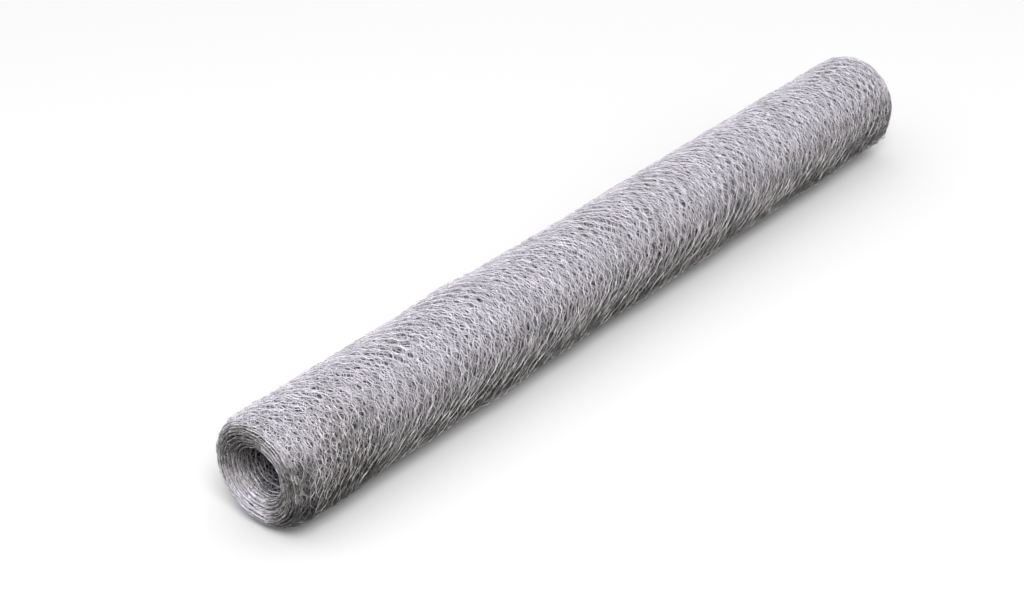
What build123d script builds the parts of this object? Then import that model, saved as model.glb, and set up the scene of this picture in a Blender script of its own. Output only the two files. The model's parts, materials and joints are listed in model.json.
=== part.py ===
"""Roll of hexagonal wire netting (chicken wire), lying on its side.

The netting is one long sheet wound on itself, so the roll is one solid. Its section is a
spiral drawn with two centres: each half-turn is turned about its own centre, and the next
one, about the other centre, starts where it stops. Each half-turn is cut to the shape of
the roll's ends, which are rounded at the rim and dished towards the bore, and the gaps
between the turns show there. The outermost turn stops at the sheet's loose edge, a step
that runs along the roll. The roll lies on that edge, low on the viewer's side, as a roll
does when it is let go.

All sizes are in millimetres. The roll lies along X, with the end that faces the viewer at
low X, and rests on the plane Z = 0.
"""

import math
import os

from build123d import *

# Driving sizes of the roll
netting_width = 1500.0
outer_radius = 88.0
bore_radius = 30.0
turn_count = 14

# The ends: a crest stands out furthest, and the turns stand back from it on both sides
crest_radius = 64.0
rim_drop = 30.0
dish_depth = 16.0
dish_steepness = 1.5
uneven_turns = 1.2

# The gap that shows between two turns, as wide and as deep
gap_width = 1.1
gap_depth = 6.0

FULL_TURN = 360.0
HALF_TURN = FULL_TURN / 2.0
GOLDEN_ANGLE = math.radians(137.5)

# Derived sizes
turn_pitch = (outer_radius - bore_radius) / turn_count
centre_offset = turn_pitch / 4.0
half_width = netting_width / 2.0
loose_number = 2 * turn_count - 1


def end_profile(radius):
    """How far the roll's end stands back from its crest at this radius."""
    if radius < crest_radius:
        reach = min((crest_radius - radius) / (crest_radius - bore_radius), 1.0)
        return dish_depth * reach**dish_steepness
    reach = min((radius - crest_radius) / (outer_radius - crest_radius), 1.0)
    return rim_drop * (1.0 - math.sqrt(1.0 - reach**2))


def uneven(number, end):
    """How much further a half-turn stands back; end is 0 at low X and 1 at high X."""
    return uneven_turns * (1.0 + math.sin(number * GOLDEN_ANGLE + end)) / 2.0


def turn_section(inner, outer, number):
    """Section of one turn along the roll: the netting, with the gap inside it at both ends."""
    netting_inner = inner + gap_width
    low_width, high_width = (half_width - uneven(number, end) for end in (0, 1))
    outer_drop = end_profile(outer)
    inner_drop = end_profile(netting_inner)
    gap_drop = inner_drop + gap_depth
    outline = [
        (outer_drop - low_width, outer),
        (high_width - outer_drop, outer),
        (high_width - inner_drop, netting_inner),
        (high_width - gap_drop, netting_inner),
        (high_width - gap_drop, inner),
        (gap_drop - low_width, inner),
        (gap_drop - low_width, netting_inner),
        (inner_drop - low_width, netting_inner),
    ]
    return make_face(Polyline(*outline, close=True))


def inner_radius(number):
    """Inner radius of a half-turn, about its own centre."""
    return bore_radius + centre_offset + number * turn_pitch / 2.0


def half_turn(number, sweep):
    """One half-turn of netting, turned about its own centre; even ones pass over the top."""
    inner = inner_radius(number)
    turned = revolve(turn_section(inner, inner + turn_pitch, number), Axis.X, sweep)
    over_the_top = number % 2 == 0
    start_angle = 0.0 if over_the_top else HALF_TURN
    centre_y = -centre_offset if over_the_top else centre_offset
    return Pos(0, centre_y, 0) * Rot(start_angle, 0, 0) * turned


def loose_sweep():
    """How far the loose turn goes down: to where it is as low as the turn that it lies on."""
    underside = inner_radius(loose_number)
    return math.degrees(math.asin(underside / (underside + turn_pitch)))


def bore_turn():
    """The innermost turn, which closes on itself round the bore."""
    half_length = half_width - dish_depth - uneven_turns - gap_depth
    outline = Rectangle(2.0 * half_length, turn_pitch)
    section = Pos(0, bore_radius + turn_pitch / 2.0) * outline
    return revolve(section, Axis.X, FULL_TURN)


def netting_roll():
    """The whole roll as one solid, resting on Z = 0."""
    turns = [half_turn(number, HALF_TURN) for number in range(loose_number)]
    loose_turn = half_turn(loose_number, loose_sweep())
    roll = bore_turn().fuse(*turns, loose_turn)
    box = roll.bounding_box()
    return Pos(-box.center().X, -box.center().Y, -box.min.Z) * roll


if __name__ == "__main__":
    os.makedirs("parts", exist_ok=True)
    export_step(netting_roll(), "parts/wire_netting_roll.step")
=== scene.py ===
"""Roll of galvanised hexagonal wire netting, as a Blender add-on that is run as a script.

The netting is one sheet wound on itself. Every wire is worked out on the flat sheet first,
where `along` runs from the sheet's loose edge into the roll and `across` runs over the
netting's width, and is then wound on to the roll. The outer turns are modelled over their
whole width. Further in, only the ends of the turns are seen, so they are modelled there and
round the bore, and one core with a wire pattern stands for the rest.
"""

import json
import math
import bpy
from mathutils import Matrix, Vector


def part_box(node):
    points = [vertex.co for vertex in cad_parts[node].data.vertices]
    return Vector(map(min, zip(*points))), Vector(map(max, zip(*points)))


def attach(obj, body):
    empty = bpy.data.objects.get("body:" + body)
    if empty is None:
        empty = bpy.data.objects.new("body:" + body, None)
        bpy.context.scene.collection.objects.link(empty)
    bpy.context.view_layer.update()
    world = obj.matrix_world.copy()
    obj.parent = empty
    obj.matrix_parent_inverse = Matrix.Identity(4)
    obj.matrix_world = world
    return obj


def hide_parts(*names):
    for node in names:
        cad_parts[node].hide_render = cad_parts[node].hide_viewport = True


bl_info = {
    "name": "Wire Netting Roll",
    "version": (1, 0, 0),
    "blender": (4, 5, 0),
    "location": "3D View > Sidebar > Netting Roll",
    "description": "Builds a roll of galvanised hexagonal wire netting on a pale floor",
    "category": "Add Mesh",
}

import bpy
import numpy as np
from bpy.props import FloatProperty, FloatVectorProperty, IntProperty, PointerProperty
from mathutils import Euler

NODE = "wire_netting_roll"
BODY = "root"
SHADE = "shade"
STAIN_AND_SHADE = "stain_and_shade"
FULL_TURN = 2.0 * math.pi

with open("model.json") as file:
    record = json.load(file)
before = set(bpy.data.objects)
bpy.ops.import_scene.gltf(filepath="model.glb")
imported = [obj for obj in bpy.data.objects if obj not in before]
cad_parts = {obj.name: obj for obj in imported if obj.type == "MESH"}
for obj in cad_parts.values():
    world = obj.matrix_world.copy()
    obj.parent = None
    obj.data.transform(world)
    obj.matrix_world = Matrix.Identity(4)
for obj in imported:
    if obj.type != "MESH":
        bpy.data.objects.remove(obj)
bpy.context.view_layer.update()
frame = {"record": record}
CAD_LOW, CAD_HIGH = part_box(NODE)
BORE_MOUNT = frame["record"]["mounts"][0]
BORE_RADIUS = BORE_MOUNT["dims"]["r_mm"] / 1000.0
BORE_CENTRE = BORE_MOUNT["pos_m"]
NETTING_WIDTH = CAD_HIGH[0] - CAD_LOW[0]


def length_setting(name, description, default):
    """A length in metres that the panel shows."""
    return FloatProperty(name=name, description=description, default=default, unit="LENGTH")


def share_setting(name, description, default, most=1.0):
    """A share, mostly from 0 to 1, that the panel shows."""
    return FloatProperty(
        name=name, description=description, default=default, subtype="FACTOR", min=0.0, max=most
    )


def angle_setting(name, description, degrees):
    """An angle that the panel shows."""
    return FloatProperty(name=name, description=description, default=math.radians(degrees), subtype="ANGLE")


def colour_setting(name, description, default):
    """A colour that the panel shows."""
    return FloatVectorProperty(
        name=name, description=description, default=default, subtype="COLOR", min=0.0, max=1.0
    )


class NettingSettings(bpy.types.PropertyGroup):
    """Sizes of the wire and of the mesh on the flat sheet."""

    wire: length_setting("Wire", "Diameter of the wire", 0.00085)
    mesh: length_setting("Mesh", "Distance between two twists", 0.0195)
    twist: length_setting("Twist", "Length of a twist", 0.009)
    slant: length_setting("Slant", "Length round the roll from one twist to the next", 0.0085)
    uneven: length_setting("Uneven", "How far a twist lies from its even place", 0.0009)
    tone: share_setting("Tone", "How much duller the dullest wires are", 0.50)
    seed: IntProperty(name="Seed", description="Start of the random numbers", default=7)


class RollSettings(bpy.types.PropertyGroup):
    """Sizes of the roll that the sheet is wound into."""

    radius: length_setting("Radius", "Radius of the tightly wound netting", 0.0864)
    pitch: length_setting("Turn pitch", "Thickness of one turn", 0.00104)
    crest: length_setting("Crest radius", "Radius of the turns that stand out furthest", 0.064)
    rim: length_setting("Rim length", "How far the outermost turns stand back", 0.030)
    curl: length_setting("Curl", "How far the outermost turn's edge curls in", 0.007)
    dish: length_setting("Dish depth", "How far the ends are dished at the bore", 0.016)
    ridge: length_setting("Ridges", "How far some turns stand back between others", 0.0045)
    loose_lift: length_setting("Loose lift", "How far the outermost turn stands off at the crease", 0.0080)
    loose_length: length_setting("Loose length", "Length over which it comes back to the roll", 0.010)
    crease: length_setting("Crease", "Length of sheet from the loose edge to the crease", 0.063)
    loose_angle: angle_setting("Loose angle", "Where the loose edge is, from +Y over the top", 251.0)


class ZincSettings(bpy.types.PropertyGroup):
    """Colours of the weathered zinc on the wire, and how far painted shade darkens it."""

    bright: colour_setting("Bright zinc", "Colour of the clean zinc", (0.92, 0.88, 0.95))
    dull: colour_setting("Dull zinc", "Colour of the weathered zinc", (0.80, 0.765, 0.825))
    # Painted shade: the deeper a wire lies in the roll, the nearer it comes to this colour, by the fade
    gap: colour_setting("Gap", "Colour between the wires, deep in the roll", (0.03, 0.03, 0.03))
    fade: length_setting("Fade", "Depth in the roll at which the wires are mostly dark", 0.020)
    # Painted shade on the upper wall of the dished end
    wall: share_setting("Wall", "How much darker the upper wall of the dished end is", 0.42)
    # Painted shade on the wires under the loose sheet, near the crease
    recess: share_setting("Recess", "How much darker the covered wires near the crease are", 0.74)
    # Painted shade: how much sooner wires with staining and painted shade get dark with depth, how much
    # more their tones differ, and where that starts
    stain_and_shade: share_setting("Stain", "How much sooner stained wires get dark with depth", 0.65, most=0.95)
    stain_and_shade_spread: FloatProperty(
        name="Stain spread", description="How much more stained wires differ", default=3.5, min=0.0
    )
    stain_and_shade_height: FloatProperty(
        name="Stain height", description="Where the stain starts, in radii above the axis", default=0.66
    )
    roughness: share_setting("Roughness", "Roughness of the zinc", 0.46)


class StageSettings(bpy.types.PropertyGroup):
    """The floor, the light and the camera."""

    floor: colour_setting("Floor", "Colour of the floor", (0.62, 0.62, 0.615))
    bounce: colour_setting("Floor bounce", "Colour of the light from the floor", (0.03, 0.03, 0.03))
    sky: FloatProperty(name="Sky", description="Strength of the sky's light", default=1.30, min=0.0)
    lamp: FloatProperty(
        name="Lamp", description="Power of the lamp overhead", default=200.0, unit="POWER", min=0.0
    )
    camera_place: FloatVectorProperty(
        name="Camera place", description="Where the camera stands", default=(-2.264, -1.7156, 1.7533),
        subtype="TRANSLATION", unit="LENGTH",
    )
    camera_heading: angle_setting("Camera heading", "Direction of view, from +X", 39.93)
    camera_tilt: angle_setting("Camera tilt", "How far the camera looks down", 31.75)
    lens: FloatProperty(name="Lens", description="Focal length in mm", default=73.8, min=1.0)


def smooth_noise(rng, along, across, shortest, longest, height, waves=7):
    """Gentle random waves over the flat sheet, between two wavelengths."""
    total = np.zeros(np.broadcast(along, across).shape)
    for length in np.geomspace(shortest, longest, waves):
        direction, phase = rng.uniform(0.0, FULL_TURN, 2)
        travel = along * math.cos(direction) + across * math.sin(direction)
        total += np.sin(FULL_TURN * travel / length + phase)
    return total * height / math.sqrt(waves / 2.0)


def ease(value):
    """Rises smoothly from 0 to 1."""
    value = np.clip(value, 0.0, 1.0)
    return value * value * (3.0 - 2.0 * value)


def facing(angle, middle, narrowing):
    """1 where the angle is the middle one, and less away from it, down to 0 across the roll."""
    return (0.5 + 0.5 * np.cos(angle - middle)) ** narrowing


class Winding:
    """Winds points of the flat sheet on to the roll."""

    # The innermost turn lies this many turns outside the bore
    CLEARANCE_TURNS = 1.2
    # How steeply the dished end falls away near the bore
    DISH_STEEPNESS = 1.5
    # Where the outside bulges and narrows: place along the roll, height and length; and the power
    # of the radius with which that grows
    BULGES = ((-0.32, 0.0040, 0.07), (-0.02, -0.0022, 0.09), (0.60, -0.0020, 0.07))
    BULGE_GROWTH = 3
    # Where the turns part on the ends: radius, how far the turns there stand back, half the width
    GROOVES = ((0.0722, 0.0065, 0.0015), (0.0350, 0.0060, 0.0016))
    # How far a groove wanders, the mean of its depth, how far that swings and how often round the
    # roll, and the angles by which the waves differ for each metre of the groove's radius
    GROOVE_WANDER = 0.0012
    GROOVE_MEAN = 0.65
    GROOVE_SWING = 0.35
    GROOVE_WAVES = 3.0
    GROOVE_STARTS = (40.0, 90.0)
    # Turns from one small ridge on the ends to the next, and how far turns close up on it
    RIDGE_TURNS = 5.3
    CLOSING = 0.0006
    # How far the ridges wander, once and twice round the roll, how they differ from end to end, all
    # in radians, and the number of turns over which they change
    RIDGE_SWAYS = (1.3, 0.8)
    RIDGE_SIDES = (1.3, 2.1)
    RIDGE_CHANGE_TURNS = 4.0
    # How much lower the ridges are at the rim
    RIM_FLATTENING = 0.5
    # How unevenly single turns lie, and the rates at which that changes from turn to turn
    TURN_UNEVEN = 0.0010
    TURN_RATES = (7.9, 4.3)
    # Height and lengths of the scallops along a turn's edge, and how they shift from turn to turn
    SCALLOP = 0.0006
    SCALLOP_LENGTHS = (0.047, 0.031)
    SCALLOP_SHIFT = 5.0
    # Length from the sheet's edge over which its ridges and loose turns die away
    EDGE_REACH = 0.025
    # Length over which an outer turn bends in at the rim, as a share of the rim's length, and the
    # least that it may be
    BEND_SHARE = 0.75
    LEAST_BEND = 0.002
    # The innermost turns hang loose in the bore: how many, the part of a turn in which they come
    # loose, how much further in each one stands than the last, and how far they come away from
    # the others, with the mean of that and its swing between top and bottom
    HANGING_TURNS = 8.4
    HANGING_START = 0.5
    HANGING_STEP = 0.0075
    HANGING_GAP = 0.0012
    HANGING_MEAN = 0.6
    HANGING_SWING = 0.4
    # Painted shade: the wires get dark between two hanging turns: from what distance from the
    # sheet's edge, over what length, and how fast
    HANGING_EDGE = 0.002
    HANGING_COVERED = 0.007
    HANGING_SHADE = 6.0
    # How fast the depth, which sets the painted shade, grows with the distance from the bore and
    # from the edge, and in a groove
    HOLE_DEPTH = 4.0
    EDGE_DEPTH = 0.8
    RIDGE_DEPTH = 1.5
    # Depth in the roll over which the turns stand off less at the crease, and how uneven that is
    # along the roll: height, rate and start of each wave
    CREASE_DEPTH = 0.010
    CREASE_MEAN = 0.8
    CREASE_WAVES = ((0.25, 14.0, 0.0), (0.2, 37.0, 1.0))
    # The mesh is skewed low on the viewer's side: the angle where that starts, and how far round it
    # goes, how far the sheet is shifted there, and the length over which the shift fades at the ends
    SKEW_START = math.radians(222.0)
    SKEW_REACH = math.radians(62.0)
    SKEW = 0.042
    SKEW_FADE = 0.20
    # The lowest that the middle of a wire lies, in wire diameters above the floor
    LOWEST = 0.6

    def __init__(self, roll, wire):
        self.roll = roll
        self.wire = wire
        self.half_width = NETTING_WIDTH / 2.0
        self.turns = (roll.radius - BORE_RADIUS) / roll.pitch - self.CLEARANCE_TURNS

    def length_at(self, turns):
        """Length of sheet in that many turns, counted from the loose edge."""
        angle = FULL_TURN * turns
        return self.roll.radius * angle - self.roll.pitch * angle**2 / (2.0 * FULL_TURN)

    def angle_at(self, along):
        """Angle that the sheet is wound through at a length from the loose edge."""
        turn_rate = self.roll.pitch / FULL_TURN
        clipped = np.maximum(self.roll.radius**2 - 2.0 * turn_rate * along, 0.0)
        return (self.roll.radius - np.sqrt(clipped)) / turn_rate

    def set_back(self, radius):
        """How far the edge of a turn stands back from the crest of the end."""
        roll = self.roll
        outer = np.clip((radius - roll.crest) / (roll.radius - roll.crest), 0.0, 1.0)
        inner = np.clip((roll.crest - radius) / (roll.crest - BORE_RADIUS), 0.0, 1.0)
        return roll.rim * (1.0 - np.sqrt(1.0 - outer**2)) + roll.dish * inner**self.DISH_STEEPNESS

    def bulge(self, place, angle):
        """How far the outside bulges, most on top of the roll and not where it lies."""
        share = (1.0 + np.sin(angle)) / 2.0
        total = np.zeros_like(place)
        for centre, height, length in self.BULGES:
            total += height * np.exp(-(((place - centre) / length) ** 2))
        return total * share

    def ridge_phase(self, turns, angle, side):
        """Where a turn is between two ridges of the end; the ridges wander round the roll."""
        once = self.RIDGE_SWAYS[0] * np.sin(angle + self.RIDGE_SIDES[1] * side)
        twice = self.RIDGE_SWAYS[1] * np.sin(2.0 * angle + turns / self.RIDGE_CHANGE_TURNS)
        return FULL_TURN * turns / self.RIDGE_TURNS + self.RIDGE_SIDES[0] * side + (once + twice)

    def groove(self, radius, angle, side):
        """How far a turn stands back where the turns part."""
        total = np.zeros_like(radius)
        wander_start, depth_start = self.GROOVE_STARTS
        for centre, depth, half_width in self.GROOVES:
            middle = centre + self.GROOVE_WANDER * np.sin(angle + wander_start * centre + side)
            swing = self.GROOVE_SWING * np.sin(self.GROOVE_WAVES * angle + depth_start * centre + side)
            shape = np.exp(-(((radius - middle) / half_width) ** 2))
            total += depth * (self.GROOVE_MEAN + swing) * shape
        return total

    def crease(self, angle):
        """1 at the crease low on the viewer's side, and less away from it."""
        crease_angle = self.roll.loose_angle - self.angle_at(self.roll.crease)
        away = (angle - crease_angle + math.pi) % FULL_TURN - math.pi
        return np.exp(-np.abs(away) * self.roll.radius / self.roll.loose_length)

    def standing_off(self, along_roll, angle, wound_radius):
        """How far a turn stands off the roll at the crease."""
        uneven = self.CREASE_MEAN
        for height, rate, start in self.CREASE_WAVES:
            uneven = uneven + height * np.sin(along_roll * rate + start)
        standing = self.crease(angle) * np.exp((wound_radius - self.roll.radius) / self.CREASE_DEPTH)
        return self.roll.loose_lift * uneven * standing

    def skew(self, angle, from_edge):
        """How far the sheet is shifted along the roll, which skews the mesh on the viewer's side."""
        gone = (self.SKEW_START - angle) % FULL_TURN
        back = ease((gone - self.SKEW_REACH) / (FULL_TURN - self.SKEW_REACH))
        shift = self.SKEW * (ease(gone / self.SKEW_REACH) - back - 1.0)
        return shift * ease(from_edge / self.SKEW_FADE)

    def uneven_edge(self, turns, angle, along):
        """How unevenly the edges of single turns lie."""
        fast, slow = self.TURN_RATES
        single = np.sin(fast * turns + angle) + np.sin(slow * turns - 2.0 * angle)
        long_length, short_length = self.SCALLOP_LENGTHS
        long_scallops = np.sin(along * FULL_TURN / long_length + self.SCALLOP_SHIFT * np.sin(turns))
        scallops = long_scallops + np.sin(along * FULL_TURN / short_length)
        return self.TURN_UNEVEN * single + self.SCALLOP * scallops

    def depth(self, radius, from_edge, ridge, hanging):
        """How deep in the roll a point of the sheet lies, or how well a hanging turn covers it, for the
        painted shade.
        """
        in_hole = np.clip((radius - BORE_RADIUS) * self.HOLE_DEPTH, 0.0, None)
        in_end = self.EDGE_DEPTH * from_edge + self.RIDGE_DEPTH * ridge
        depth = np.minimum(np.minimum(self.roll.radius - radius, in_end), in_hole)
        covered = np.clip(from_edge - self.HANGING_EDGE, 0.0, self.HANGING_COVERED)
        return depth + self.HANGING_SHADE * covered * ease(hanging / self.HANGING_START)

    def rim_bend(self, outer, from_edge):
        """How far a turn's edge curls in, how much of that is done here, and how the sheet tilts."""
        curl = self.roll.curl * outer**2
        length = self.BEND_SHARE * self.roll.rim * outer + self.LEAST_BEND
        bend = np.clip(1.0 - from_edge / length, 0.0, 1.0)
        return curl, bend**2, np.arctan(2.0 * curl * bend / length)

    def ridges(self, radius, outer, phase, angle, side):
        """How far a turn stands back between its neighbours."""
        small = self.roll.ridge * (0.5 + 0.5 * np.sin(phase)) * (1.0 - self.RIM_FLATTENING * outer)
        return small + self.groove(radius, angle, side)

    def place(self, along, across, lift):
        """Points of the sheet on the roll, the outward direction, and the depth in the roll."""
        roll = self.roll
        wound = self.angle_at(along)
        turns = wound / FULL_TURN
        angle = roll.loose_angle - wound
        wound_radius = roll.radius - roll.pitch * turns
        side = np.where(across < self.half_width, -1.0, 1.0)
        from_edge = np.minimum(across, 2.0 * self.half_width - across)
        near_edge = np.exp(-from_edge / self.EDGE_REACH)
        outer = np.clip((wound_radius - roll.crest) / (roll.radius - roll.crest), 0.0, 1.0)
        curl, bend, tilt = self.rim_bend(outer, from_edge)
        phase = self.ridge_phase(turns, angle, side)
        ridge = self.ridges(wound_radius, outer, phase, angle, side)
        hanging = np.maximum(turns - self.turns + self.HANGING_TURNS, 0.0)
        uneven = ridge + self.uneven_edge(turns, angle, along)
        squeeze = 1.0 - self.set_back(wound_radius - curl) / self.half_width
        back = (uneven + self.HANGING_STEP * hanging) * near_edge
        along_roll = (across - self.half_width) * squeeze - side * back + self.skew(angle, from_edge)
        radius = wound_radius - curl * bend + self.CLOSING * np.cos(phase) * near_edge
        loose = self.HANGING_MEAN + self.HANGING_SWING * np.sin(angle)
        radius = radius - self.HANGING_GAP * ease(hanging / self.HANGING_START) * loose
        radius = radius + self.bulge(along_roll, angle) * (radius / roll.radius) ** self.BULGE_GROWTH
        lift = lift + self.standing_off(along_roll, angle, wound_radius)
        round_y, round_z = np.cos(angle), np.sin(angle)
        outward = np.stack([side * np.sin(tilt), round_y * np.cos(tilt), round_z * np.cos(tilt)], -1)
        y, z = BORE_CENTRE[1] + radius * round_y, BORE_CENTRE[2] + radius * round_z
        points = np.stack([along_roll, y, z], -1) + outward * lift[..., None]
        points[..., 2] = np.maximum(points[..., 2], self.wire * self.LOWEST)
        return points, outward, self.depth(wound_radius, from_edge, ridge, hanging)


def rising(value, start, length):
    """0 up to the start, and then smoothly up to 1 over the length."""
    return ease((value - start) / length)


def falling(value, end, length):
    """0 past the end, and smoothly up to 1 over the length before it."""
    return ease((end - value) / length)


class PaintedShadeAndStain:
    """How dark the wires are, mostly by painted shade, and how much staining they carry, by their place."""

    # Angles round the roll, from +Y over the top; the viewer looks at the side round 180 degrees
    WALL_ANGLE = math.radians(42.0)
    PAINTED_LIGHT_ANGLE = math.radians(-48.0)
    DARKENED_RIM_ANGLE = math.radians(166.0)
    RECESS_START = math.radians(171.0)
    RECESS_SLOPE = math.radians(28.0)
    UNDERSIDE_START = math.radians(188.0)
    UNDERSIDE_SLOPE = math.radians(22.0)
    UNDERSIDE_END = math.radians(300.0)
    # How narrow the first three of these places are round the roll
    WALL_NARROWING = 3
    PAINTED_LIGHT_NARROWING = 2
    DARKENED_RIM_NARROWING = 20
    # Radii at which a place starts or stops, each with the length of the change
    WALL_OUTSIDE = (0.082, 0.020)
    DARKENED_RIM_INSIDE = (0.042, 0.018)
    DARKENED_RIM_OUTSIDE = (0.092, 0.014)
    SIDE_INSIDE = (0.066, 0.012)
    # Places along the roll from which one goes on to the near end, with the length of the change
    PAINTED_LIGHT_START = (-0.665, 0.030)
    DARKENED_RIM_START = (-0.700, 0.025)
    CORNER_START = (-0.55, 0.15)
    # The painted shade of the strip low on the viewer's side gets weaker towards the far end: from
    # where, over what length, and by how much
    PALER_START = (-0.1, 0.7)
    PALER = 0.6
    # How far the upper limit of the strips waves up and down, in radians, and the waves' rates
    STRIP_WAVES = ((0.07, 31.0), (0.05, 83.0))
    # The staining and painted shade low on the viewer's side grow over this length out from the
    # axis, and over this height down from its start, in radii
    STAIN_AND_SHADE_REACH = 0.060
    STAIN_AND_SHADE_SLOPE = 1.2
    # Where the side gets more staining and painted shade near the end that faces the viewer: place
    # along the roll and length
    PATCH_PLACE = -0.635
    PATCH_LENGTH = 0.055
    PATCH = 0.35
    # Wires deeper than this lie under the outermost turn
    COVERED = 0.008
    # Painted highlight: the wires at the crease keep full brightness, without dull tones, staining
    # or the underside's painted shade, down to this depth; and how narrow that strip is
    BRIGHT_DEPTH = 0.003
    CREASE_NARROWING = 5
    # Painted shade on the underside: how much darker the outermost turn is low on the roll, away
    # from its crease, and how much more so at the end that faces the viewer
    UNDERSIDE_SHADE = 0.40
    CORNER_UNDERSIDE_SHADE = 0.45
    # How much staining the upper wall gets, as painted shade, and how much the darker rim gets, and
    # how much darker that rim is
    WALL_PAINTED_SHADE = 0.8
    DARKENED_RIM_STREAKS = 0.9
    DARKENED_RIM_SHADE = 0.24
    # How much sooner the painted shade of depth makes wires dark on the upper wall, and how much
    # later on the rim with painted light
    WALL_FADE = 0.6
    PAINTED_LIGHT_FADE = 1.2
    # How much the tones of wires with staining and painted shade differ where nothing covers them,
    # and how much less on the rim with painted light
    OPEN_SPREAD = 0.5
    PAINTED_LIGHT_SPREAD = 0.9

    def __init__(self, zinc, radius):
        self.zinc = zinc
        self.radius = radius

    def upper_wall(self, radius, angle):
        """1 on the upper wall of the dished ends, away from the loose edge, where shade is painted, and 0
        outside it.
        """
        return falling(radius, *self.WALL_OUTSIDE) * facing(angle, self.WALL_ANGLE, self.WALL_NARROWING)

    def painted_light_rim(self, place, angle):
        """1 on the part of the end that faces the viewer where light is painted, and 0 outside it."""
        return falling(place, *self.PAINTED_LIGHT_START) * facing(angle, self.PAINTED_LIGHT_ANGLE, self.PAINTED_LIGHT_NARROWING)

    def darkened_rim(self, place, angle, radius):
        """1 where the end that faces the viewer is made darkest, and 0 outside it."""
        ring = rising(radius, *self.DARKENED_RIM_INSIDE) * falling(radius, *self.DARKENED_RIM_OUTSIDE)
        near = falling(place, *self.DARKENED_RIM_START) * ring
        return near * facing(angle, self.DARKENED_RIM_ANGLE, self.DARKENED_RIM_NARROWING)

    def low_strips(self, place, angle, radius):
        """The strip low on the viewer's side, and the underside below it, where shade is painted: 1 in them
        and 0 outside.
        """
        (long_height, long_rate), (short_height, short_rate) = self.STRIP_WAVES
        wavy = long_height * np.sin(place * long_rate) + short_height * np.sin(place * short_rate)
        outside = rising(radius, *self.SIDE_INSIDE) * falling(angle, self.UNDERSIDE_END, self.RECESS_SLOPE)
        recess = ease((angle - self.RECESS_START + wavy) / self.RECESS_SLOPE)
        underside = ease((angle - self.UNDERSIDE_START + wavy) / self.UNDERSIDE_SLOPE)
        paler = 1.0 - self.PALER * rising(place, *self.PALER_START)
        return recess * outside * paler, underside * outside

    def stained_and_shaded(self, place, points):
        """How much staining and painted shade the wires low on the viewer's side get, from 0 to 1."""
        height = (points[..., 2] - BORE_CENTRE[2]) / self.radius
        viewer_side = falling(points[..., 1], BORE_CENTRE[1], self.STAIN_AND_SHADE_REACH)
        patch = self.PATCH * np.exp(-(((place - self.PATCH_PLACE) / self.PATCH_LENGTH) ** 2))
        low = (self.zinc.stain_and_shade_height - height) / self.STAIN_AND_SHADE_SLOPE
        return np.clip(low + patch, 0.0, 1.0) * viewer_side

    def tones(self, points, depth, tone, crease):
        """Shade and staining, holding painted shade and light; crease is 1 where the loose sheet stands
        off, else 0.
        """
        zinc = self.zinc
        place = points[..., 0]
        across, height = points[..., 1] - BORE_CENTRE[1], points[..., 2] - BORE_CENTRE[2]
        angle = np.arctan2(height, across) % FULL_TURN
        radius = np.hypot(across, height)
        # Where shade is painted (upper wall, low strips), where light is painted (the rim facing the
        # viewer), a darker rim, and staining with painted shade low on the viewer's side
        wall = self.upper_wall(radius, angle)
        painted_light = self.painted_light_rim(place, angle)
        darkened = self.darkened_rim(place, angle, radius)
        low = self.stained_and_shaded(place, points)
        recess, underside = self.low_strips(place, angle, radius)
        covered = ease(depth / self.COVERED)
        corner = falling(place, *self.CORNER_START)
        # Painted highlight along the crease, where the loose sheet stands off
        crease = crease**self.CREASE_NARROWING * (1.0 - ease(depth / self.BRIGHT_DEPTH)) * (1.0 - corner)
        underside_shade = self.UNDERSIDE_SHADE + self.CORNER_UNDERSIDE_SHADE * corner
        stain_and_shade = np.maximum(np.maximum(low, self.WALL_PAINTED_SHADE * wall), self.DARKENED_RIM_STREAKS * darkened)
        stain_and_shade = stain_and_shade * (1.0 - crease)
        sooner = 1.0 - zinc.stain_and_shade * np.maximum(low, self.WALL_FADE * wall)
        fade = zinc.fade * sooner * (1.0 + self.PAINTED_LIGHT_FADE * painted_light)
        differing = self.OPEN_SPREAD + (1.0 - self.OPEN_SPREAD) * covered
        spread = (1.0 + zinc.stain_and_shade_spread * stain_and_shade * differing) * (1.0 - self.PAINTED_LIGHT_SPREAD * painted_light)
        # Painted shade by depth, on the upper wall, near the crease and on the underside, and a darker rim;
        # painted light on the rim facing the viewer and along the crease
        shade = tone ** (spread * (1.0 - crease)) * np.exp(-((depth / fade) ** 2))
        shade = shade * (1.0 - zinc.wall * wall) * (1.0 - self.DARKENED_RIM_SHADE * darkened)
        shade = shade * (1.0 - zinc.recess * recess * covered)
        shade = shade * (1.0 - underside_shade * underside * (1.0 - crease) * (1.0 - painted_light))
        return shade, stain_and_shade


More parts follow.
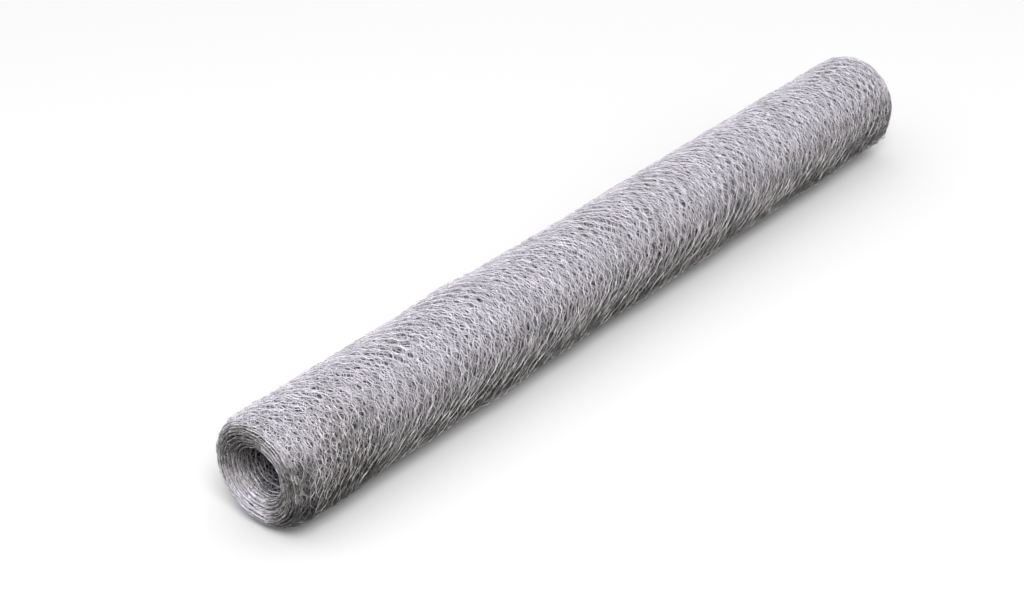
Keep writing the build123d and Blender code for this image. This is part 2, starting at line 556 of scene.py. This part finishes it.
class Weave:
    """The wires of the netting, on the flat sheet."""

    # These keep the random draws for the tones, the slants and the slow shifts apart
    TONE_DRAWS = 3
    SLANT_DRAWS = 5
    WANDER_DRAWS = 11
    # Points along one strand of a twist, where twists are modelled and where wires are plain
    TWIST_POINTS = 5
    PLAIN_POINTS = 2
    # The higher this power, the more of the strands are near the bright tone
    TONE_POWER = 1.5
    # How much more uneven the twists are at the sheet's edges, and over what length
    EDGE_JITTER = 0.9
    EDGE_JITTER_LENGTH = 0.03
    # Unevenness of the twists along the sheet and out from it, and of the edge's own across it, as
    # shares of the others' unevenness across it
    ALONG_JITTER = 1.6
    LIFT_JITTER = 0.35
    EDGE_ROW_JITTER = 0.2
    # How far slants bow across the sheet and out from it, as shares of the same unevenness
    ACROSS_BOW = 0.5
    LIFT_BOW = 0.35
    # Slow shifts of the sheet across it, along it and out from it: shortest and longest wave, height
    SIDEWAYS = (0.11, 0.9, 0.0042)
    SLIP = (0.07, 0.5, 0.0034)
    SWELL = (0.05, 0.40, 0.00045)
    # How much more the sheet slips along at its edges, and over what length
    EDGE_SLIP = 1.2
    EDGE_SLIP_LENGTH = 0.16
    # How far a turn lies beside the one under it, away from the ends, and the lengths of its waves
    DRIFT = 0.0049
    DRIFT_LENGTHS = (0.41, 0.97)
    # Distances from the edge at which the slow shift across the sheet and the drift are whole
    SIDEWAYS_START = 0.05
    DRIFT_START = 0.06
    # Two wires are twisted along each edge: length of one twist, how far they lie from an even
    # line, and how much duller they get
    EDGE_TWIST = 0.016
    EDGE_UNEVEN = 0.0007
    EDGE_TONE = 0.55

    def __init__(self, netting, winding):
        self.netting = netting
        self.winding = winding
        self.half_period = netting.twist + netting.slant
        self.strand_count = int(round(NETTING_WIDTH / (netting.mesh / 2.0)))
        self.spacing = NETTING_WIDTH / self.strand_count

    def row_at(self, turns):
        """Number of the row of twists nearest to that many turns from the loose edge."""
        return int(round(self.winding.length_at(turns) / self.half_period))

    def strands(self, strands, first_row, last_row, fine):
        """Some strands over some rows of twists: along, across, lift and tone."""
        netting = self.netting
        wire_radius = netting.wire / 2.0
        steps = self.TWIST_POINTS if fine else self.PLAIN_POINTS
        strands = np.asarray(strands)[:, None, None]
        rows = np.arange(first_row, last_row)[None, :, None]
        turn = np.linspace(0.0, FULL_TURN if fine else 0.0, steps)[None, None, :]
        share = np.linspace(0.0, 1.0, steps)[None, None, :]
        side = np.where((strands + rows) % 2 == 0, 1.0, -1.0)
        pair = strands + (side > 0)
        jitter = self.pair_jitter(pair, rows, first_row, last_row)
        middle = (strands + 0.5 + side / 2.0) * self.spacing
        along = rows * self.half_period + share * netting.twist + jitter[1]
        across = middle + jitter[0] - side * wire_radius * np.cos(turn)
        lift = jitter[2] + side * wire_radius * np.sin(turn)
        tone = self.tones(first_row, last_row)[strands, rows - first_row]
        wires = np.broadcast_arrays(along, across, lift, tone)
        if fine:
            wires = self.add_slants(*wires)
        return [values.reshape(len(values), -1) for values in wires]

    def tones(self, first_row, last_row):
        """How bright each strand is from one twist to the next."""
        rng = np.random.default_rng([self.netting.seed, first_row, self.TONE_DRAWS])
        table = rng.uniform(0.0, 1.0, (self.strand_count, last_row - first_row))
        return 1.0 - self.netting.tone * table**self.TONE_POWER

    def pair_jitter(self, pair, rows, first_row, last_row):
        """Random shift of each twist, the same for both of its strands."""
        shape = (3, self.strand_count + 1, last_row - first_row)
        rng = np.random.default_rng([self.netting.seed, first_row])
        table = rng.normal(0.0, self.netting.uneven, shape)
        columns = np.arange(self.strand_count + 1) * self.spacing
        from_edge = np.minimum(columns, NETTING_WIDTH - columns)
        near_edge = np.exp(-from_edge / self.EDGE_JITTER_LENGTH)
        table *= (1.0 + self.EDGE_JITTER * near_edge)[None, :, None]
        table[1] *= self.ALONG_JITTER
        table[2] = np.abs(table[2]) * self.LIFT_JITTER
        table[0][[0, -1]] *= self.EDGE_ROW_JITTER
        return table[:, pair, rows - first_row]

    def add_slants(self, along, across, lift, tone):
        """Adds a point on each slant, a little off the straight line."""
        rng = np.random.default_rng([self.netting.seed, along.shape[1], self.SLANT_DRAWS])
        bows = ((along, 0.0), (across, self.ACROSS_BOW), (lift, self.LIFT_BOW), (tone, 0.0))
        full = []
        for values, bow in bows:
            middle = (values[:, :-1, -1:] + values[:, 1:, :1]) / 2.0
            middle = middle + np.abs(rng.normal(0.0, 1.0, middle.shape)) * self.netting.uneven * bow
            end = np.concatenate([middle, values[:, -1:, -1:]], axis=1)
            full.append(np.concatenate([values, end], axis=2))
        return full

    def wander(self, along, across, lift, tone):
        """Slow shifts of the whole sheet, so that no two turns lie alike."""
        rng = np.random.default_rng([self.netting.seed, self.WANDER_DRAWS])
        sideways = smooth_noise(rng, along, across, *self.SIDEWAYS)
        slip = smooth_noise(rng, along, across, *self.SLIP)
        swell = smooth_noise(rng, along, across, *self.SWELL)
        edge = np.minimum(across, NETTING_WIDTH - across)
        slip = slip * (1.0 + self.EDGE_SLIP * np.exp(-((edge / self.EDGE_SLIP_LENGTH) ** 2)))
        first_length, second_length = self.DRIFT_LENGTHS
        drift = np.sin(along * FULL_TURN / first_length) + np.sin(along * FULL_TURN / second_length)
        drift = self.DRIFT * drift * np.clip(edge / self.DRIFT_START, 0.0, 1.0)
        sideways = sideways * np.clip(edge / self.SIDEWAYS_START, 0.0, 1.0)
        return along + slip, across + sideways + drift, lift + swell, tone

    def selvedge(self, first_turn, last_turn, low, segments):
        """The two wires that are twisted along one edge of the sheet."""
        start, end = self.winding.length_at(first_turn), self.winding.length_at(last_turn)
        count = max(int((last_turn - first_turn) * segments), 2)
        along = np.linspace(start, end, count)[None, :].repeat(2, axis=0)
        turn = along * FULL_TURN / self.EDGE_TWIST + np.array([[0.0], [math.pi]])
        wire_radius = self.netting.wire / 2.0
        edge = wire_radius if low else NETTING_WIDTH - wire_radius
        rng = np.random.default_rng([self.netting.seed, count, int(low)])
        inward = np.abs(rng.normal(0.0, self.EDGE_UNEVEN, count)) * (1.0 if low else -1.0)
        tone = 1.0 - self.EDGE_TONE * rng.uniform(0.0, 1.0, (2, count))
        return along, edge + inward + wire_radius * np.cos(turn), wire_radius * np.sin(turn), tone


# The modelled wires are a touch thicker than the real ones, so that twisted strands meet: their
# radius as a share of the wire's diameter
WIRE_SHARE = 0.51
# Keeps a direction without a length from being divided by nothing
TINY = 1e-12
# Turns from the outside at which the outermost, upper, middle and deep turns stop
OUTER_END = 1.0
UPPER_END = 4.0
MIDDLE_END = 9.0
DEEP_END = 19.0
# Turns that line the bore, and strands that show on the ends of the turns between
BORE_TURNS = 2.0
END_STRANDS = 3
# Points in one turn of the twisted wires along the edges: of the outermost turn, of the other
# whole turns and of those that show on the ends only
FINE_SEGMENTS = 140
PLAIN_SEGMENTS = 80
END_SEGMENTS = 64


def wire_mesh(points, outward, radius, sides, closed=True):
    """Vertices and faces of one wire along each row of points."""
    tangent = np.gradient(points, axis=1)
    tangent /= np.linalg.norm(tangent, axis=-1, keepdims=True) + TINY
    across = np.cross(tangent, outward)
    across /= np.linalg.norm(across, axis=-1, keepdims=True) + TINY
    upward = np.cross(across, tangent)
    if closed:
        angles = math.pi / 2.0 + np.arange(sides) * FULL_TURN / sides
    else:
        angles = np.linspace(0.0, math.pi, sides)
    ring = (
        upward[:, :, None] * np.sin(angles)[None, None, :, None]
        + across[:, :, None] * np.cos(angles)[None, None, :, None]
    )
    vertices = points[:, :, None] + ring * radius
    count, length = points.shape[:2]
    index = np.arange(count * length * sides).reshape(count, length, sides)
    following = np.roll(index, -1, axis=2) if closed else index[:, :, 1:]
    current = index if closed else index[:, :, :-1]
    faces = np.stack([current[:, :-1], following[:, :-1], following[:, 1:], current[:, 1:]], -1)
    return vertices.reshape(-1, 3), faces.reshape(-1, 4)


def join_meshes(parts):
    """Vertices, faces and tones of several wires in one list."""
    vertices, faces, tones, start = [], [], [], 0
    for part_vertices, part_faces, part_tones in parts:
        vertices.append(part_vertices)
        faces.append(part_faces + start)
        tones.append(part_tones)
        start += len(part_vertices)
    return np.concatenate(vertices), np.concatenate(faces), np.concatenate(tones, axis=1)


def add_piece(name, vertices, faces, tones, material):
    """Makes a smooth mesh object that rides on the roll's body; tones are the shade and the staining, both
    with painted shade.
    """
    mesh = bpy.data.meshes.new(name)
    mesh.vertices.add(len(vertices))
    mesh.vertices.foreach_set("co", vertices.astype(np.float32).ravel())
    mesh.loops.add(faces.size)
    mesh.loops.foreach_set("vertex_index", faces.astype(np.int32).ravel())
    mesh.polygons.add(len(faces))
    mesh.polygons.foreach_set("loop_start", np.arange(0, faces.size, 4, dtype=np.int32))
    mesh.update(calc_edges=True)
    mesh.shade_smooth()
    for attribute, values in zip((SHADE, STAIN_AND_SHADE), tones):
        layer = mesh.attributes.new(attribute, "FLOAT", "POINT")
        layer.data.foreach_set("value", values.astype(np.float32))
    mesh.materials.append(material)
    piece = bpy.data.objects.new(name, mesh)
    bpy.context.scene.collection.objects.link(piece)
    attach(piece, BODY)
    return piece


def make_tools(context):
    """The winding and the weave, from the scene's settings."""
    netting = context.scene.netting_wire
    winding = Winding(context.scene.netting_roll, netting.wire)
    return winding, Weave(netting, winding)


def wound_wires(context, winding, sheet_wires, sides=3, closed=True):
    """Winds wires of the flat sheet on to the roll and gives them their thickness and shade, most of it
    painted shade.
    """
    along, across, lift, tone = sheet_wires
    points, outward, depth = winding.place(along, across, lift)
    painted_shade_and_stain = PaintedShadeAndStain(context.scene.netting_zinc, winding.roll.radius)
    angle = winding.roll.loose_angle - winding.angle_at(along)
    shade, stain_and_shade = painted_shade_and_stain.tones(points, depth, tone, winding.crease(angle))
    radius = context.scene.netting_wire.wire * WIRE_SHARE
    tones = np.repeat(np.stack([shade.ravel(), stain_and_shade.ravel()]), sides, axis=1)
    return *wire_mesh(points, outward, radius, sides, closed), tones


def full_turns(context, name, first_turn, last_turn, fine=False, sides=3, closed=True):
    """A piece with every wire of some turns, and the twisted wires along both edges."""
    winding, weave = make_tools(context)
    first_row, last_row = weave.row_at(first_turn), weave.row_at(last_turn) + 1
    wires = weave.wander(*weave.strands(range(weave.strand_count), first_row, last_row, fine))
    parts = [wound_wires(context, winding, wires, sides, closed)]
    segments = FINE_SEGMENTS if fine else PLAIN_SEGMENTS
    for low in (True, False):
        edge = weave.wander(*weave.selvedge(first_turn, last_turn, low, segments))
        parts.append(wound_wires(context, winding, edge))
    return add_piece(name, *join_meshes(parts), zinc_wire(context))


# Blotches and grain of the zinc: scale and detail of their noise, and the levels of the blotches
# up to which the zinc is dull and from which it is bright
BLOTCH_SCALE = 55.0
BLOTCH_DETAIL = 4.0
DULL_LEVEL = 0.36
BRIGHT_LEVEL = 0.60
GRAIN_SCALE = 900.0
GRAIN_DETAIL = 2.0
# How much rougher the dull zinc is, and how much smoother the bright zinc
DULL_ROUGHER = 0.14
BRIGHT_SMOOTHER = 0.08
# Warm tint where the staining and painted shade are strongest
WARM_TINT = (1.0, 0.985, 0.86, 1.0)
# The dark streaks, partly staining and partly painted shade: slope, how long they are for their
# width, scale and detail of their noise, the levels from which and up to which they fade out,
# and their shade without staining or painted shade and where there is most of it
STREAK_SLOPE = math.radians(-22.0)
STREAK_STRETCH = 3.2
STREAK_SCALE = 130.0
STREAK_DETAIL = 3.0
STREAK_LEVELS = (0.42, 0.58)
STREAK_SHADES = (0.82, 0.20)
# Slope in degrees and scale of each layer of wires on the core, how bright they are beside dull
# zinc, dimmed as painted shade, and the levels between which they rise out of the gaps' painted
# shade
CORE_LAYERS = ((28.0, 43.333333), (-31.0, 40.0), (0.0, 50.0))
CORE_DIM = 0.55
CORE_GAP_LEVEL = 0.72
CORE_WIRE_LEVEL = 0.93


def new_material(name):
    """An empty node material, with its output and shader."""
    material = bpy.data.materials.get(name) or bpy.data.materials.new(name)
    material.use_nodes = True
    tree = material.node_tree
    tree.nodes.clear()
    output = tree.nodes.new("ShaderNodeOutputMaterial")
    shader = tree.nodes.new("ShaderNodeBsdfPrincipled")
    tree.links.new(shader.outputs["BSDF"], output.inputs["Surface"])
    return material, tree, shader


def noise_level(tree, scale, detail, vector=None):
    """The value of a noise texture, in object coordinates or those given."""
    noise = tree.nodes.new("ShaderNodeTexNoise")
    noise.inputs["Scale"].default_value = scale
    noise.inputs["Detail"].default_value = detail
    if vector is None:
        vector = tree.nodes.new("ShaderNodeTexCoord").outputs["Object"]
    tree.links.new(vector, noise.inputs["Vector"])
    return noise.outputs["Fac"]


def ramp_colour(tree, value, stops):
    """A ramp between two colours, each given with its place."""
    ramp = tree.nodes.new("ShaderNodeValToRGB")
    tree.links.new(value, ramp.inputs["Fac"])
    for element, (place, colour) in zip(ramp.color_ramp.elements, stops):
        element.position = place
        element.color = (*colour, 1.0)
    return ramp.outputs["Color"]


def mesh_value(tree, name):
    """A value that the mesh carries, by the name of its attribute."""
    attribute = tree.nodes.new("ShaderNodeAttribute")
    attribute.attribute_name = name
    return attribute.outputs["Fac"]


def mapped(tree, value, low, high, levels=(0.0, 1.0)):
    """The value, moved from the range of the levels to one from low to high."""
    node = tree.nodes.new("ShaderNodeMapRange")
    tree.links.new(value, node.inputs["Value"])
    node.inputs["From Min"].default_value, node.inputs["From Max"].default_value = levels
    node.inputs["To Min"].default_value = low
    node.inputs["To Max"].default_value = high
    return node


def joined(tree, operation, first, second):
    """Two values, joined by the named operation."""
    node = tree.nodes.new("ShaderNodeMath")
    node.operation = operation
    tree.links.new(first, node.inputs[0])
    tree.links.new(second, node.inputs[1])
    return node.outputs["Value"]


def colour_mix(tree, factor, blend="MIX"):
    """A mix of two colours by a value."""
    mix = tree.nodes.new("ShaderNodeMix")
    mix.data_type = "RGBA"
    mix.blend_type = blend
    tree.links.new(factor, mix.inputs["Factor"])
    return mix


def roughen(tree, shader, height, strength, distance):
    """Gives the shader's surface a fine relief."""
    bump = tree.nodes.new("ShaderNodeBump")
    bump.inputs["Strength"].default_value = strength
    bump.inputs["Distance"].default_value = distance
    tree.links.new(height, bump.inputs["Height"])
    tree.links.new(bump.outputs["Normal"], shader.inputs["Normal"])


def streaked(tree):
    """The wire's shade, with streaks that lie as the skewed wires do, darkest where the staining and
    painted shade are strongest.
    """
    stretch = tree.nodes.new("ShaderNodeMapping")
    stretch.vector_type = "TEXTURE"
    stretch.inputs["Rotation"].default_value = (0.0, STREAK_SLOPE, 0.0)
    stretch.inputs["Scale"].default_value = (STREAK_STRETCH, 1.0, 1.0)
    tree.links.new(tree.nodes.new("ShaderNodeTexCoord").outputs["Object"], stretch.inputs["Vector"])
    noise = noise_level(tree, STREAK_SCALE, STREAK_DETAIL, stretch.outputs["Vector"])
    darkest = mapped(tree, mesh_value(tree, STAIN_AND_SHADE), *STREAK_SHADES)
    level = mapped(tree, noise, 0.0, 1.0, STREAK_LEVELS)
    tree.links.new(darkest.outputs["Result"], level.inputs["To Min"])
    return joined(tree, "MULTIPLY", level.outputs["Result"], mesh_value(tree, SHADE))


def warmed(tree, colour):
    """The colour, a little warmer where the staining and painted shade are strongest."""
    mix = colour_mix(tree, mesh_value(tree, STAIN_AND_SHADE), "MULTIPLY")
    tree.links.new(colour, mix.inputs["A"])
    mix.inputs["B"].default_value = WARM_TINT
    return mix.outputs["Result"]


def zinc_wire(context):
    """Weathered zinc: blotches of bright and dull grey, with a fine grain, made darker by painted shade."""
    existing = bpy.data.materials.get("zinc_wire")
    if existing:
        return existing
    zinc = context.scene.netting_zinc
    material, tree, shader = new_material("zinc_wire")
    blotch = noise_level(tree, BLOTCH_SCALE, BLOTCH_DETAIL)
    stops = ((DULL_LEVEL, zinc.dull), (BRIGHT_LEVEL, zinc.bright))
    # Painted shade: the shade that the mesh carries mixes the zinc towards the painted shade colour
    shade = colour_mix(tree, streaked(tree))
    shade.inputs["A"].default_value = (*zinc.gap, 1.0)
    tree.links.new(warmed(tree, ramp_colour(tree, blotch, stops)), shade.inputs["B"])
    tree.links.new(shade.outputs["Result"], shader.inputs["Base Color"])
    grain = noise_level(tree, GRAIN_SCALE, GRAIN_DETAIL)
    roughen(tree, shader, grain, strength=0.25, distance=0.0001)
    rough = mapped(tree, blotch, zinc.roughness + DULL_ROUGHER, zinc.roughness - BRIGHT_SMOOTHER)
    tree.links.new(rough.outputs["Result"], shader.inputs["Roughness"])
    shader.inputs["Metallic"].default_value = 0.05
    return material


def wire_layer(tree, slope, scale):
    """Wavy parallel wires, at a slope in degrees."""
    mapping = tree.nodes.new("ShaderNodeMapping")
    mapping.inputs["Rotation"].default_value = (0.0, 0.0, math.radians(slope))
    tree.links.new(tree.nodes.new("ShaderNodeTexCoord").outputs["UV"], mapping.inputs["Vector"])
    wave = tree.nodes.new("ShaderNodeTexWave")
    wave.bands_direction = "X"
    wave.inputs["Scale"].default_value = scale
    wave.inputs["Distortion"].default_value = 6.0
    wave.inputs["Detail"].default_value = 2.0
    wave.inputs["Detail Scale"].default_value = 0.6
    tree.links.new(mapping.outputs["Vector"], wave.inputs["Vector"])
    return wave.outputs["Fac"]


def zinc_core(context):
    """The wires deep in the roll, as a pattern of crossing strands dimmed by painted shade, with gaps of
    painted shade.
    """
    zinc = context.scene.netting_zinc
    material, tree, shader = new_material("zinc_core")
    strands, *crossing = [wire_layer(tree, slope, scale) for slope, scale in CORE_LAYERS]
    for layer in crossing:
        strands = joined(tree, "MAXIMUM", strands, layer)
    dim = [CORE_DIM * value for value in zinc.dull]
    stops = ((CORE_GAP_LEVEL, zinc.gap), (CORE_WIRE_LEVEL, dim))
    tree.links.new(ramp_colour(tree, strands, stops), shader.inputs["Base Color"])
    roughen(tree, shader, strands, strength=0.8, distance=0.002)
    shader.inputs["Roughness"].default_value = 0.6
    shader.inputs["Metallic"].default_value = 0.3
    return material


class NETTING_OT_outer_turn(bpy.types.Operator):
    """Add the outermost turn, with every twist modelled, up to the sheet's loose edge"""

    bl_idname = "netting.outer_turn"
    bl_label = "Outer Turn"
    bl_options = {"REGISTER", "UNDO"}

    def execute(self, context):
        full_turns(context, "outer_turn", 0.0, OUTER_END, fine=True)
        return {"FINISHED"}


class NETTING_OT_upper_turns(bpy.types.Operator):
    """Add the turns under it, with plain wires, and then those whose wires are open at the back"""

    bl_idname = "netting.upper_turns"
    bl_label = "Upper Turns"
    bl_options = {"REGISTER", "UNDO"}

    def execute(self, context):
        full_turns(context, "upper_turns", OUTER_END, UPPER_END)
        full_turns(context, "middle_turns", UPPER_END, MIDDLE_END, closed=False)
        return {"FINISHED"}


class NETTING_OT_deep_turns(bpy.types.Operator):
    """Add the turns under those, as flat wires that are seen through the meshes"""

    bl_idname = "netting.deep_turns"
    bl_label = "Deep Turns"
    bl_options = {"REGISTER", "UNDO"}

    def execute(self, context):
        full_turns(context, "deep_turns", MIDDLE_END, DEEP_END, closed=False, sides=2)
        return {"FINISHED"}


class NETTING_OT_end_turns(bpy.types.Operator):
    """Add the ends of the inner turns, which show on both ends of the roll"""

    bl_idname = "netting.end_turns"
    bl_label = "End Turns"
    bl_options = {"REGISTER", "UNDO"}

    def execute(self, context):
        winding, weave = make_tools(context)
        last_turn = winding.turns - BORE_TURNS
        first_row, last_row = weave.row_at(DEEP_END), weave.row_at(last_turn)
        near = range(END_STRANDS)
        far = range(weave.strand_count - END_STRANDS, weave.strand_count)
        for name, strands, low in (("near_end_turns", near, True), ("far_end_turns", far, False)):
            wires = weave.wander(*weave.strands(strands, first_row, last_row, False))
            edge = weave.wander(*weave.selvedge(DEEP_END, last_turn, low, END_SEGMENTS))
            parts = [wound_wires(context, winding, wires), wound_wires(context, winding, edge)]
            add_piece(name, *join_meshes(parts), zinc_wire(context))
        return {"FINISHED"}


class NETTING_OT_bore_turns(bpy.types.Operator):
    """Add the innermost turns, which line the bore over the whole length"""

    bl_idname = "netting.bore_turns"
    bl_label = "Bore Turns"
    bl_options = {"REGISTER", "UNDO"}

    def execute(self, context):
        winding = make_tools(context)[0]
        full_turns(context, "bore_turns", winding.turns - BORE_TURNS, winding.turns)
        return {"FINISHED"}


class NETTING_OT_core(bpy.types.Operator):
    """Add the core that stands for the turns that can't be seen"""

    bl_idname = "netting.core"
    bl_label = "Core"
    bl_options = {"REGISTER", "UNDO"}

    # The core lies this many turns in from the outside, and stops this many turns from the bore
    OUTSIDE_TURNS = 19.2
    INSIDE_TURNS = 8.6
    # How far it stops short of the netting's ends, and the width of the bevel on its rims
    SHORTER = 0.028
    BEVEL = 0.004
    SEGMENTS = 96
    # A face belongs to an end where its normal points along the roll by more than this
    END_NORMAL = 0.5

    def execute(self, context):
        roll = context.scene.netting_roll
        outer = roll.radius - self.OUTSIDE_TURNS * roll.pitch
        inner = BORE_RADIUS + self.INSIDE_TURNS * roll.pitch
        vertices, faces = self.tube(outer, inner, roll.dish)
        tones = np.ones((2, len(vertices)))
        core = add_piece("core", vertices, faces, tones, zinc_core(context))
        core.data.shade_flat()
        self.unwrap(core.data, outer)
        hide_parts(NODE)
        return {"FINISHED"}

    def tube(self, outer, inner, dish):
        """Vertices and faces of the tube, with bevelled rims and dished ends."""
        half_length = NETTING_WIDTH / 2.0 - self.SHORTER
        profile = [
            (-half_length, outer - self.BEVEL),
            (-half_length + self.BEVEL, outer),
            (half_length - self.BEVEL, outer),
            (half_length, outer - self.BEVEL),
            (half_length - dish, inner),
            (-half_length + dish, inner),
        ]
        lengths, radii = np.array(profile).T[:, :, None]
        angles = np.arange(self.SEGMENTS) * FULL_TURN / self.SEGMENTS
        y = BORE_CENTRE[1] + radii * np.cos(angles)
        z = BORE_CENTRE[2] + radii * np.sin(angles)
        vertices = np.stack([np.broadcast_to(lengths, y.shape), y, z], -1)
        index = np.arange(y.size).reshape(y.shape)
        following = np.roll(index, -1, axis=0)
        faces = np.stack([index, following, np.roll(following, -1, axis=1), np.roll(index, -1, axis=1)], -1)
        return vertices.reshape(-1, 3), faces.reshape(-1, 4)

    def unwrap(self, mesh, outer):
        """UVs in metres: along the roll, and round it; on the ends, out from the axis."""
        layer = mesh.uv_layers.new(name="UVMap")
        for polygon in mesh.polygons:
            on_end = abs(polygon.normal.x) > self.END_NORMAL
            corners = [mesh.vertices[mesh.loops[i].vertex_index].co for i in polygon.loop_indices]
            sides = [(co.y - BORE_CENTRE[1], co.z - BORE_CENTRE[2]) for co in corners]
            angles = [math.atan2(z, y) % FULL_TURN for y, z in sides]
            if max(angles) - min(angles) > math.pi:
                angles = [angle + FULL_TURN if angle < math.pi else angle for angle in angles]
            for loop, co, side, angle in zip(polygon.loop_indices, corners, sides, angles):
                layer.data[loop].uv = (math.hypot(*side) if on_end else co.x, angle * outer)


class NETTING_OT_stage(bpy.types.Operator):
    """Add the floor, the soft light and the camera"""

    bl_idname = "netting.stage"
    bl_label = "Stage"
    bl_options = {"REGISTER", "UNDO"}

    # Half the floor's width
    FLOOR_REACH = 40.0
    # Colour of the sky, its light from the horizon and from straight above as shares of its
    # strength, and how bright the camera sees it
    SKY_COLOUR = (0.98, 0.98, 1.0, 1.0)
    SKY_HORIZON = 0.80
    SKY_ABOVE = 1.05
    SKY_SEEN = 0.92
    # Width of the lamp overhead, where it hangs and how it leans
    LAMP_WIDTH = 2.4
    LAMP_PLACE = (-2.4, -2.4, 4.3)
    LAMP_LEAN = (math.radians(29.0), math.radians(-26.0), 0.0)

    def execute(self, context):
        settings = context.scene.netting_stage
        self.add_floor(context, settings)
        self.add_sky(context, settings)
        self.add_lamp(context, settings)
        self.add_camera(context, settings)
        context.scene.view_settings.view_transform = "Standard"
        return {"FINISHED"}

    def add_floor(self, context, settings):
        """A pale floor, wide enough to fill every view; it gives back less light than it shows."""
        mesh = bpy.data.meshes.new("floor")
        reach = self.FLOOR_REACH
        corners = [(-reach, -reach, 0.0), (reach, -reach, 0.0), (reach, reach, 0.0), (-reach, reach, 0.0)]
        mesh.from_pydata(corners, [], [(0, 1, 2, 3)])
        material, tree, shader = new_material("pale_floor")
        rays = tree.nodes.new("ShaderNodeLightPath").outputs
        seen = joined(tree, "MAXIMUM", rays["Is Camera Ray"], rays["Is Glossy Ray"])
        seen = joined(tree, "MAXIMUM", seen, rays["Is Transmission Ray"])
        mix = colour_mix(tree, seen)
        mix.inputs["A"].default_value = (*settings.bounce, 1.0)
        mix.inputs["B"].default_value = (*settings.floor, 1.0)
        tree.links.new(mix.outputs["Result"], shader.inputs["Base Color"])
        shader.inputs["Roughness"].default_value = 0.9
        shader.inputs["Specular IOR Level"].default_value = 0.1
        mesh.materials.append(material)
        floor = bpy.data.objects.new("floor", mesh)
        context.scene.collection.objects.link(floor)

    def add_sky(self, context, settings):
        """Light from all round, a little stronger from above."""
        world = bpy.data.worlds.new("sky")
        world.use_nodes = True
        tree = world.node_tree
        background = tree.nodes["Background"]
        background.inputs["Color"].default_value = self.SKY_COLOUR
        parts = tree.nodes.new("ShaderNodeSeparateXYZ")
        direction = tree.nodes.new("ShaderNodeTexCoord").outputs["Generated"]
        tree.links.new(direction, parts.inputs["Vector"])
        horizon, above = settings.sky * self.SKY_HORIZON, settings.sky * self.SKY_ABOVE
        height = mapped(tree, parts.outputs["Z"], horizon, above)
        level = tree.nodes.new("ShaderNodeMix")
        rays = tree.nodes.new("ShaderNodeLightPath").outputs
        tree.links.new(rays["Is Camera Ray"], level.inputs["Factor"])
        tree.links.new(height.outputs["Result"], level.inputs["A"])
        level.inputs["B"].default_value = self.SKY_SEEN
        tree.links.new(level.outputs["Result"], background.inputs["Strength"])
        context.scene.world = world

    def add_lamp(self, context, settings):
        """A wide soft lamp overhead."""
        lamp = bpy.data.lights.new("overhead", "AREA")
        lamp.energy = settings.lamp
        lamp.shape = "DISK"
        lamp.size = self.LAMP_WIDTH
        holder = bpy.data.objects.new("overhead", lamp)
        holder.location = self.LAMP_PLACE
        holder.rotation_euler = Euler(self.LAMP_LEAN)
        context.scene.collection.objects.link(holder)

    def add_camera(self, context, settings):
        """The camera, at the photograph's viewing angle."""
        camera = bpy.data.cameras.new("camera")
        camera.sensor_width = 36.0
        camera.lens = settings.lens
        holder = bpy.data.objects.new("camera", camera)
        holder.location = settings.camera_place
        quarter = math.pi / 2.0
        lean, turn = quarter - settings.camera_tilt, settings.camera_heading - quarter
        holder.rotation_euler = Euler((lean, 0.0, turn))
        context.scene.collection.objects.link(holder)
        context.scene.camera = holder


OPERATORS = (
    NETTING_OT_outer_turn,
    NETTING_OT_upper_turns,
    NETTING_OT_deep_turns,
    NETTING_OT_end_turns,
    NETTING_OT_bore_turns,
    NETTING_OT_core,
    NETTING_OT_stage,
)


class NETTING_PT_panel(bpy.types.Panel):
    """The roll's pieces and sizes, in the 3D view's sidebar"""

    bl_idname = "NETTING_PT_panel"
    bl_label = "Netting Roll"
    bl_space_type = "VIEW_3D"
    bl_region_type = "UI"
    bl_category = "Netting Roll"

    def draw(self, context):
        column = self.layout.column()
        for operator in OPERATORS:
            column.operator(operator.bl_idname)
        for group in SETTINGS:
            column.separator()
            settings = getattr(context.scene, group)
            for name in settings.__annotations__:
                column.prop(settings, name)


SETTINGS = {
    "netting_wire": NettingSettings,
    "netting_roll": RollSettings,
    "netting_zinc": ZincSettings,
    "netting_stage": StageSettings,
}
CLASSES = (*SETTINGS.values(), *OPERATORS, NETTING_PT_panel)


def register():
    for cls in CLASSES:
        bpy.utils.register_class(cls)
    for name, group in SETTINGS.items():
        setattr(bpy.types.Scene, name, PointerProperty(type=group))


def unregister():
    for name in SETTINGS:
        delattr(bpy.types.Scene, name)
    for cls in reversed(CLASSES):
        bpy.utils.unregister_class(cls)


def main():
    """Builds every piece and the stage."""
    register()
    bpy.ops.netting.outer_turn()
    bpy.ops.netting.upper_turns()
    bpy.ops.netting.deep_turns()
    bpy.ops.netting.end_turns()
    bpy.ops.netting.bore_turns()
    bpy.ops.netting.core()
    bpy.ops.netting.stage()


if __name__ == "__main__":
    main()
